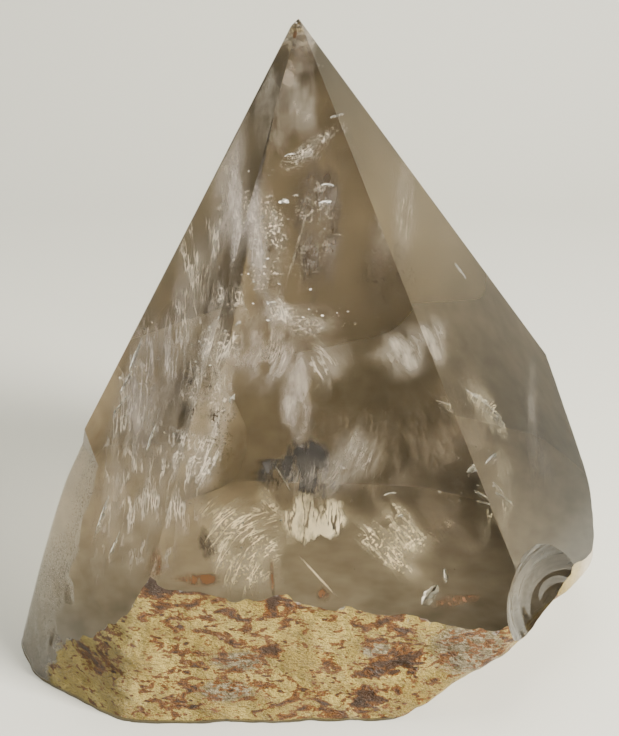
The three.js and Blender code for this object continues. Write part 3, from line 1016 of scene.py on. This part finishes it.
# haze, threads, grains: how thick the clouds, the threads (below 0: slits) and the grains are,
# soft: the share of its width over which it fades out, far: how far beyond the rim the point
# lies round which the threads bend, in mm
VEILS = [
    # milky zone at the tip, with a speck of rust
    dict(at=(0.1, -2.6, 88.4), azimuth=0, rise=20, spin=0, half=(3.6, 8), haze=0.5, far=60),
    dict(at=(-0.8, -0.9, 98), azimuth=-10, rise=30, spin=20, half=(0.6, 1.1), haze=3, far=9, tone=RUSTY),
    dict(at=(-4.4, -2, 87), azimuth=-24, rise=26, spin=14, half=(2.8, 11), haze=0.6, threads=0.1, far=90),
    # its jagged lower edge and the brown streaked zone below that
    dict(at=(1.4, -3.9, 80.2), azimuth=0, rise=30, spin=-50, half=(2.2, 6.5), haze=0.15, threads=0.7,
         far=3, grains=0.9, soft=1),
    dict(at=(2.8, -4.9, 70), azimuth=6, rise=33, spin=-10, half=(5.4, 15.5), haze=2.4, threads=-0.8, far=90,
         soft=0.8, tone=SMOKY),
    dict(at=(2.3, -5.6, 71), azimuth=6, rise=33, spin=-4, half=(4.2, 13), haze=0.05, threads=0.2, far=90,
         grains=0.4),
    dict(at=(-0.3, -6.2, 66), azimuth=2, rise=34, spin=-16, half=(0.35, 7), haze=1, threads=0.3, far=90),
    # the column of grains beside it, and the crinkled break at its foot
    dict(at=(-5, -6.8, 65.5), azimuth=-8, rise=35, spin=6, half=(3.6, 11), haze=0.3, threads=0.3, far=9,
         grains=1.2),
    dict(at=(-5, -7.2, 63), azimuth=-8, rise=35, spin=20, half=(3.8, 10), haze=0.2, threads=0.4, far=9,
         grains=1, tone=SMOKY),
    dict(at=(0.7, -10.1, 54.7), azimuth=0, rise=40, spin=80, half=(3, 8), haze=0.4, threads=1, far=6,
         grains=0.7),
    dict(at=(-3.4, -9.6, 56), azimuth=-4, rise=40, spin=30, half=(2.6, 4), haze=0.5, threads=0.8, far=3,
         grains=1),
    dict(at=(13, -7.5, 61), azimuth=10, rise=38, spin=-20, half=(6, 9), haze=0.4, threads=0.2, far=60,
         grains=0.5, tone=SMOKY),
    # smooth grey patches in the middle, with curved threads
    dict(at=(-5.4, -6.1, 48.2), azimuth=-6, rise=42, spin=-10, half=(7.5, 8.5), haze=0.9, threads=0.6,
         far=12, grains=0.2, tone=LILAC),
    dict(at=(-0.7, -10.1, 40.7), azimuth=0, rise=40, spin=0, half=(3.4, 8), haze=0.9, threads=0.3, far=40,
         soft=0.6, tone=LILAC),
    dict(at=(4, -12, 48), azimuth=4, rise=40, spin=30, half=(5, 5), haze=0.35, threads=0.9, far=4),
    dict(at=(16.4, -9.7, 49.1), azimuth=12, rise=42, spin=20, half=(6.5, 5), haze=0.8, threads=0.1, far=30),
    # broad faint ones that dim what lies behind
    dict(at=(8, -17, 34), azimuth=4, rise=40, spin=-14, half=(18, 12), haze=0.4, threads=0.2, far=80,
         tone=DUSTY),
    dict(at=(22, -12, 36), azimuth=10, rise=36, spin=10, half=(12, 12), haze=0.65, threads=0.1, far=80,
         soft=0.9, tone=DUSTY),
    # a dark sheet that paints the dark reflection in the low fracture, streaks in it, and haze round it
    dict(at=(0.4, -19.4, 32.6), azimuth=2, rise=30, spin=-8, half=(7.2, 5), haze=3, threads=-0.9, far=40,
         grains=-0.3, soft=0.35, tone=PAINTED_DARK_REFLECTION),
    dict(at=(0.4, -20.2, 32.4), azimuth=2, rise=34, spin=-8, half=(6, 4), haze=0.1, threads=0.4, far=9),
    dict(at=(7.5, -19, 34), azimuth=4, rise=40, spin=-30, half=(5, 8), haze=0.5, threads=0.4, far=20),
    # the slanting wisps
    dict(at=(13, -24.3, 22), azimuth=4, rise=42, spin=42, half=(3, 13.5), haze=0.45, threads=0.7, far=60,
         grains=0.9, soft=0.8, tone=CREAM),
    dict(at=(16, -23.6, 24.6), azimuth=4, rise=42, spin=30, half=(3.6, 8), haze=0.5, threads=0.4, far=60,
         grains=0.5, tone=CREAM),
    dict(at=(3, -26, 17.5), azimuth=4, rise=42, spin=40, half=(0.3, 5), haze=1, far=60, tone=CREAM),
    # the fan of ripples, a dark veil that paints the shade in its hollow, and the crinkled edge
    # above it
    dict(at=(-9.2, -26, 24), azimuth=-8, rise=42, spin=140, half=(11, 8), haze=0.6, threads=1.3, far=0,
         grains=0.5, tone=CREAM),
    dict(at=(-14, -28.3, 24.5), azimuth=-8, rise=36, spin=20, half=(1.8, 2.6), haze=1.4, threads=0.5, far=2,
         soft=0.4, tone=SMOKY),
    dict(at=(-14.3, -19, 40), azimuth=-12, rise=38, spin=-6, half=(4.6, 11), haze=0.5, threads=1.2, far=20,
         grains=0.8),
    dict(at=(-13.6, -17, 43), azimuth=-12, rise=38, spin=16, half=(4.4, 11), haze=0.2, threads=0.6, far=20,
         grains=1, tone=SMOKY),
    dict(at=(-11, -14.5, 53), azimuth=-12, rise=38, spin=-6, half=(3, 10), haze=0.3, threads=0.9, far=20,
         grains=0.8),
    # behind the left facet, drawn out upwards
    dict(at=(-13.5, -6, 60), azimuth=-20, rise=30, spin=8, half=(3.6, 14), haze=0.4, threads=1, far=90),
    dict(at=(-17.5, -8, 49), azimuth=-20, rise=32, spin=8, half=(4.5, 16), haze=0.6, threads=1, far=90,
         tone=LILAC),
    dict(at=(-15, -5, 55), azimuth=-20, rise=36, spin=14, half=(3.4, 17), haze=0.35, threads=1.4, far=90),
    dict(at=(-23, -8, 41), azimuth=-20, rise=32, spin=10, half=(5.5, 16), haze=0.7, threads=1, far=90,
         tone=LILAC),
    dict(at=(-26, -9, 36), azimuth=-20, rise=36, spin=12, half=(5, 17), haze=0.35, threads=1.4, far=90),
    dict(at=(-19, -17, 32), azimuth=-20, rise=34, spin=12, half=(6, 14), haze=0.45, threads=1.2, far=90),
    dict(at=(-23, -18, 26), azimuth=-20, rise=36, spin=12, half=(5, 15), haze=0.3, threads=1.4, far=90),
    dict(at=(-28.5, -16, 24), azimuth=-20, rise=34, spin=12, half=(5, 14), haze=0.45, threads=1, far=90),
    # behind the right facet
    dict(at=(14.5, 0.3, 69), azimuth=24, rise=34, spin=-30, half=(4, 13), haze=0.25, threads=0.3, far=60),
    dict(at=(27.5, -10.5, 38.4), azimuth=26, rise=42, spin=130, half=(6, 4), haze=0.7, threads=1, far=0,
         tone=CREAM),
    dict(at=(30, -19.5, 29), azimuth=24, rise=42, spin=-20, half=(2.8, 8), haze=0.3, threads=0.8, far=20,
         grains=0.4, tone=CREAM),
    dict(at=(37.5, 0.5, 34), azimuth=24, rise=30, spin=-28, half=(2.2, 12), haze=0.4, threads=0.1, far=60),
    # the pale veil that paints the shine of the low fracture, below its painted dark reflection,
    # and the streaks on its left
    dict(at=(2, -21.6, 25.8), azimuth=0, rise=42, spin=0, half=(4.8, 4.8), haze=2.4, threads=-2.4, far=90,
         soft=0.3, tone=CREAM),
    dict(at=(-5, -20.9, 28.2), azimuth=-10, rise=42, spin=44, half=(1.8, 4.4), haze=0.5, threads=0.8,
         grains=0.9, far=90, soft=0.9, tone=CREAM),
    # rust that has crept in under the front facet, just above the crust
    dict(at=(-15, -36.6, 23.2), azimuth=0, rise=25, spin=2, half=(4, 1.1), haze=3, grains=0.8, soft=0.7,
         far=20, tone=RUSTY),
    dict(at=(-21.5, -34.6, 24.6), azimuth=-20, rise=25, spin=12, half=(1.3, 3), haze=1.2, grains=0.8,
         soft=0.6, far=20, tone=RUSTY),
    dict(at=(3.6, -37, 20.6), azimuth=0, rise=25, spin=0, half=(1.1, 1.4), haze=3, soft=0.7, far=20,
         tone=RUSTY),
    dict(at=(23.6, -36.9, 19.6), azimuth=4, rise=25, spin=6, half=(3.6, 1.2), haze=2.6, grains=0.8, soft=0.7,
         far=20, tone=RUSTY),
    dict(at=(-4, -36.2, 23), azimuth=0, rise=25, spin=3, half=(0.5, 3.4), haze=2, grains=0.8, soft=0.8,
         far=20, tone=RUSTY),
    # along the edge between the front and left facets, a pale veil that is partly fibres and partly
    # a painted light line on that edge, and threads high behind the left facet
    dict(at=(-7.4, -4.8, 69.5), azimuth=-12, rise=33, spin=14, half=(2.3, 20.5), haze=0.9, threads=0.6,
         grains=0.3, far=90, soft=0.9, tone=LILAC),
    dict(at=(-10.4, -1.6, 69), azimuth=-20, rise=31, spin=10, half=(2.6, 17), haze=0.3, threads=1.3, far=90),
    dict(at=(-9.2, -1.5, 74), azimuth=-20, rise=33, spin=8, half=(4.6, 20), haze=0.8, threads=0.4, far=90,
         soft=1, tone=LILAC),
    # what dims the lower right of the front facet, and the foot of the right facet
    dict(at=(22, -22, 25), azimuth=6, rise=38, spin=40, half=(8, 10), haze=0.55, threads=0.4, far=60,
         grains=0.4, soft=1, tone=DUSTY),
    dict(at=(37, -5, 29), azimuth=24, rise=34, spin=-20, half=(7, 14), haze=0.7, threads=0.3, far=60,
         grains=0.2, soft=1, tone=SMOKY),
]


# %% Veils as one mesh
def kept_inside(points):
    """Points that would come out of the stone, moved back under the facet along its normal, and
    under the natural skin along the radius."""
    for out, away in facet_planes():
        beyond = points @ out - (away - VEIL_COVER)
        points = points - np.maximum(beyond, 0)[:, None] * out
    height = np.clip(points[:, 2], VEIL_COVER, None)
    azimuth = np.arctan2(points[:, 0], -points[:, 1])
    reach = skin_radius(azimuth, np.minimum(height, SKIN_TOP - 0.1)) - 2 * VEIL_COVER
    inward = np.minimum(1, reach / np.maximum(np.hypot(points[:, 0], points[:, 1]), 0.001))
    return np.column_stack([points[:, :2] * inward[:, None], height])


def joined_sheets(name, shapes):
    """All sheets as one mesh of square cells. Each point carries, as attributes, how far it is
    from the rim, the sheet's own strengths, and its place on the sheet in mm: the distance from
    the point round which the threads bend (far beyond the rim they are straight), the way along
    such an arc, and the sheet's number."""
    all_points, all_faces = [], []
    values = {"fade": [], "haze": [], "threads": [], "grains": [], "own": [], "tone": []}
    total = 0
    for number, shape in enumerate(shapes):
        shape = dict(shape)
        strengths = {key: shape.pop(key, 0.0) for key in ("haze", "threads", "grains")}
        tone, soft = linear(shape.pop("tone", MILKY)), shape.pop("soft", 0.75)
        start = shape["half"][0] + shape.pop("far")
        shape["bow"] = VEIL_BOW * min(shape["half"])
        shape["seed"] = VEIL_FIRST_SEED + number
        grid, r, own, _ = sheet(**shape, **VEIL_CRUMPLE, cell=VEIL_CELL)
        from_blow = np.hypot(own[..., 0] + start, own[..., 1])
        along = np.arctan2(own[..., 1], own[..., 0] + start) * start
        index = total + np.arange(r.size).reshape(r.shape)
        corners = [np.s_[:-1, :-1], np.s_[:-1, 1:], np.s_[1:, 1:], np.s_[1:, :-1]]
        all_faces.append(np.stack([index[c] for c in corners], axis=-1).reshape(-1, 4))
        all_points.append(kept_inside(grid.reshape(-1, 3)))
        values["fade"].append(smooth_step(0, soft, 1 - r).ravel())
        for key, strength in strengths.items():
            values[key].append(np.full(r.size, float(strength)))
        values["tone"].append(np.tile(tone, (r.size, 1)))
        own = np.stack([from_blow, along, np.full(r.shape, VEIL_APART * number)], axis=-1)
        values["own"].append(own.reshape(-1, 3))
        total += r.size
    made = new_object(name, np.vstack(all_points), np.vstack(all_faces).tolist())
    made.data.shade_smooth()
    for key in ("fade", "haze", "threads", "grains"):
        layer = made.data.attributes.new(key, "FLOAT", "POINT")
        layer.data.foreach_set("value", np.concatenate(values[key]))
    layer = made.data.attributes.new("own", "FLOAT_VECTOR", "POINT")
    layer.data.foreach_set("vector", np.vstack(values["own"]).ravel())
    layer = made.data.attributes.new("tone", "FLOAT_COLOR", "POINT")
    layer.data.foreach_set("color", np.vstack(values["tone"]).ravel())
    return made


veils = joined_sheets("quartz_veils", VEILS)
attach(veils, "root")
print(len(VEILS), "veils with", len(veils.data.polygons), "faces")

# %% Veils of tiny bubbles, with painted shine and dark reflection
bubbles = bpy.data.materials.new("veil of tiny bubbles in a healed crack")
bubbles.use_nodes = True
tree = bubbles.node_tree
tree.nodes.clear()
own = add(tree, "ShaderNodeAttribute", attribute_name="own").outputs["Vector"]
fade = add(tree, "ShaderNodeAttribute", attribute_name="fade")
haze = add(tree, "ShaderNodeAttribute", attribute_name="haze")
threads = add(tree, "ShaderNodeAttribute", attribute_name="threads")

# Clouds a few millimetres wide.
fibre = add(tree, "ShaderNodeVectorMath", {0: own, 1: (1.0, 0.4, 1.0)}, operation="MULTIPLY")
cloud = add(
    tree,
    "ShaderNodeTexNoise",
    {"Vector": fibre.outputs[0], "Scale": 0.24, "Detail": 4.0, "Roughness": 0.7},
)
clouded = add(tree, "ShaderNodeMapRange", {"Value": cloud.outputs[0], "From Min": 0.36, "From Max": 0.72})
hazy = add(tree, "ShaderNodeMath", {0: clouded.outputs[0], 1: haze.outputs["Fac"]}, operation="MULTIPLY")

# Threads: the lines on which a noise, drawn out along the arcs, passes through its middle value.
drawn = add(tree, "ShaderNodeVectorMath", {0: own, 1: (1.0, 0.16, 1.0)}, operation="MULTIPLY")
strand = add(
    tree,
    "ShaderNodeTexNoise",
    {"Vector": drawn.outputs[0], "Scale": 0.8, "Detail": 3.0, "Roughness": 0.6},
)
off_middle = add(tree, "ShaderNodeMath", {0: strand.outputs[0], 1: 0.5}, operation="SUBTRACT")
off_middle = add(tree, "ShaderNodeMath", {0: off_middle.outputs[0]}, operation="ABSOLUTE")
thread = add(
    tree,
    "ShaderNodeMapRange",
    {"Value": off_middle.outputs[0], "From Max": 0.04, "To Min": 1.0, "To Max": 0.0},
)
patch = add(tree, "ShaderNodeTexNoise", {"Vector": own, "Scale": 0.22, "Detail": 1.0})
patched = add(tree, "ShaderNodeMapRange", {"Value": patch.outputs[0], "From Min": 0.42, "From Max": 0.6})
thread = add(tree, "ShaderNodeMath", {0: thread.outputs[0], 1: patched.outputs[0]}, operation="MULTIPLY")
veiled = add(
    tree,
    "ShaderNodeMath",
    {0: thread.outputs[0], 1: threads.outputs["Fac"], 2: hazy.outputs[0]},
    operation="MULTIPLY_ADD",
)

# Grains of about a third of a millimetre, in swarms.
grains = add(tree, "ShaderNodeAttribute", attribute_name="grains")
speck = add(tree, "ShaderNodeTexNoise", {"Vector": own, "Scale": 1.9, "Detail": 1.0})
speck = add(tree, "ShaderNodeMapRange", {"Value": speck.outputs[0], "From Min": 0.55, "From Max": 0.66})
speck = add(tree, "ShaderNodeMath", {0: speck.outputs[0], 1: patched.outputs[0]}, operation="MULTIPLY")
veiled = add(
    tree,
    "ShaderNodeMath",
    {0: speck.outputs[0], 1: grains.outputs["Fac"], 2: veiled.outputs[0]},
    operation="MULTIPLY_ADD",
)
alpha = add(
    tree,
    "ShaderNodeMath",
    {0: veiled.outputs[0], 1: fade.outputs["Fac"]},
    operation="MULTIPLY",
    use_clamp=True,
)
# The tone is each veil's own colour, except on the two thick sheets of painted light: the pale one paints
# the shine of the low fracture and the dark one its dark reflection.
tone = add(tree, "ShaderNodeAttribute", attribute_name="tone")
breath = add(
    tree,
    "ShaderNodeBsdfPrincipled",
    {"Base Color": tone.outputs["Color"], "Roughness": 0.5, "Alpha": alpha.outputs[0]},
)
add(tree, "ShaderNodeOutputMaterial", {"Surface": breath.outputs[0]})
veils.data.materials.append(bubbles)
print("veil has", len(tree.nodes), "nodes")

# %% [markdown]
# ## Bounces
#
# Light that has entered the stone is turned back and forth between the facets many times before
# it comes out. Each meeting is one bounce, so a clear stone needs more of them than a pot would.
# With too few, the deep parts turn black. Far more would only take time.

# %% Bounces
cycles = bpy.context.scene.cycles
cycles.max_bounces = 8
cycles.transmission_bounces = 8
cycles.glossy_bounces = 6
cycles.diffuse_bounces = 3
cycles.transparent_max_bounces = 12
print("bounces:", cycles.max_bounces, "and through veils:", cycles.transparent_max_bounces)
